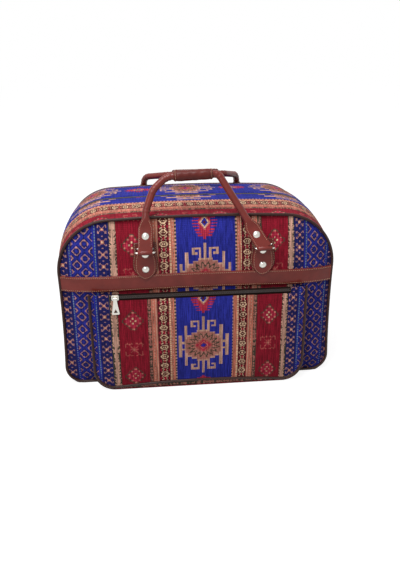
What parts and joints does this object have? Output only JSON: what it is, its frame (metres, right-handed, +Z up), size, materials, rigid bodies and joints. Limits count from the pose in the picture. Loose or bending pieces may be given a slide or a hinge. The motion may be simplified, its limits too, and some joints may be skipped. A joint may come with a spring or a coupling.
{
  "type": "kilim travel bag",
  "caption": "Boxy woven kilim travel bag with piped edges, a domed zipped top, a zipped front pocket, a leather band and two rolled leather handles on riveted ring chapes.",
  "frame": {"origin": "centre of the base, on the floor, midway between the two piping lines", "axes": "+X across the front to the viewer's right, +Y from the front to the back, +Z up; the pocket is on the -Y side"},
  "size_m": [0.4898, 0.3024, 0.3814],
  "materials": {
    "kilim_fabric": "woven wool, many colours, matt",
    "lining_fabric": "plain woven cotton, matt",
    "base_board": "stiff board, matt",
    "brown_leather": "smooth reddish brown leather, satin",
    "dark_piping": "dark brown leather cord cover, satin",
    "handle_cord": "twisted cotton cord",
    "zip_tape": "woven black-brown tape, matt",
    "zip_coil": "dark nylon coil",
    "nickel": "nickel-plated metal, lightly worn"
  },
  "bodies": {
    "bag": {"back_band": "brown_leather", "back_chape_base_left": "brown_leather", "back_chape_base_right": "brown_leather", "back_chape_left": "brown_leather", "back_chape_right": "brown_leather", "back_chape_rivets": "nickel", "back_panel": "kilim_fabric", "back_piping": "dark_piping", "base_board": "base_board", "front_band": "brown_leather", "front_chape_base_left": "brown_leather", "front_chape_base_right": "brown_leather", "front_chape_left": "brown_leather", "front_chape_right": "brown_leather", "front_chape_rivets": "nickel", "front_panel": "kilim_fabric", "front_piping": "dark_piping", "lining": "lining_fabric", "lower_gusset": "kilim_fabric", "main_zip_coil": "zip_coil", "main_zip_tape_front": "zip_tape", "main_zip_tape_rear": "zip_tape", "pocket_face": "kilim_fabric", "pocket_gusset": "kilim_fabric", "pocket_piping": "dark_piping", "pocket_zip_tape_lower": "zip_tape", "pocket_zip_tape_upper": "zip_tape", "pocket_zip_teeth_lower": "nickel", "pocket_zip_teeth_upper": "nickel", "top_strip_front": "kilim_fabric", "top_strip_rear": "kilim_fabric"},
    "front_rings": {"front_ring_left": "nickel", "front_ring_right": "nickel"},
    "front_handle": {"front_handle": "brown_leather", "front_handle_cord": "handle_cord", "front_handle_grip": "brown_leather", "front_handle_rivets": "nickel"},
    "back_rings": {"back_ring_left": "nickel", "back_ring_right": "nickel"},
    "back_handle": {"back_handle": "brown_leather", "back_handle_cord": "handle_cord", "back_handle_wrap": "brown_leather", "back_handle_rivets": "nickel"},
    "main_slider": {"main_zip_slider": "nickel"},
    "main_puller": {"main_zip_puller": "nickel"},
    "pocket_slider": {"pocket_zip_slider": "nickel"},
    "pocket_puller": {"pocket_zip_puller": "nickel"}
  },
  "joints": [
    {"name": "front_ring_swing", "type": "hinge", "parent": "bag", "child": "front_rings", "pos_m": [0, -0.13113, 0.258], "axis": [1, 0, 0], "range_deg": [0, 40]},
    {"name": "front_handle_swing", "type": "hinge", "parent": "front_rings", "child": "front_handle", "pos_m": [0, -0.14704, 0.25633], "axis": [1, 0, 0], "range_deg": [0, 150]},
    {"name": "back_ring_swing", "type": "hinge", "parent": "bag", "child": "back_rings", "pos_m": [0, 0.13113, 0.258], "axis": [-1, 0, 0], "range_deg": [0, 40]},
    {"name": "back_handle_swing", "type": "hinge", "parent": "back_rings", "child": "back_handle", "pos_m": [0, 0.14704, 0.25633], "axis": [-1, 0, 0], "range_deg": [0, 150]},
    {"name": "main_slider_run", "type": "hinge", "parent": "bag", "child": "main_slider", "pos_m": [0.14895, 0, 0.22054], "axis": [0, -1, 0], "range_deg": [0, 76]},
    {"name": "main_puller_swing", "type": "hinge", "parent": "main_slider", "child": "main_puller", "pos_m": [0.24412, 0, 0.23054], "axis": [0, -1, 0], "range_deg": [0, 140]},
    {"name": "pocket_slider_run", "type": "slide", "parent": "bag", "child": "pocket_slider", "axis": [1, 0, 0], "range_m": [0, 0.292]},
    {"name": "pocket_puller_swing", "type": "hinge", "parent": "pocket_slider", "child": "pocket_puller", "pos_m": [-0.142, -0.1492, 0.179], "axis": [-1, 0, 0], "range_deg": [0, 150]}
  ]
}
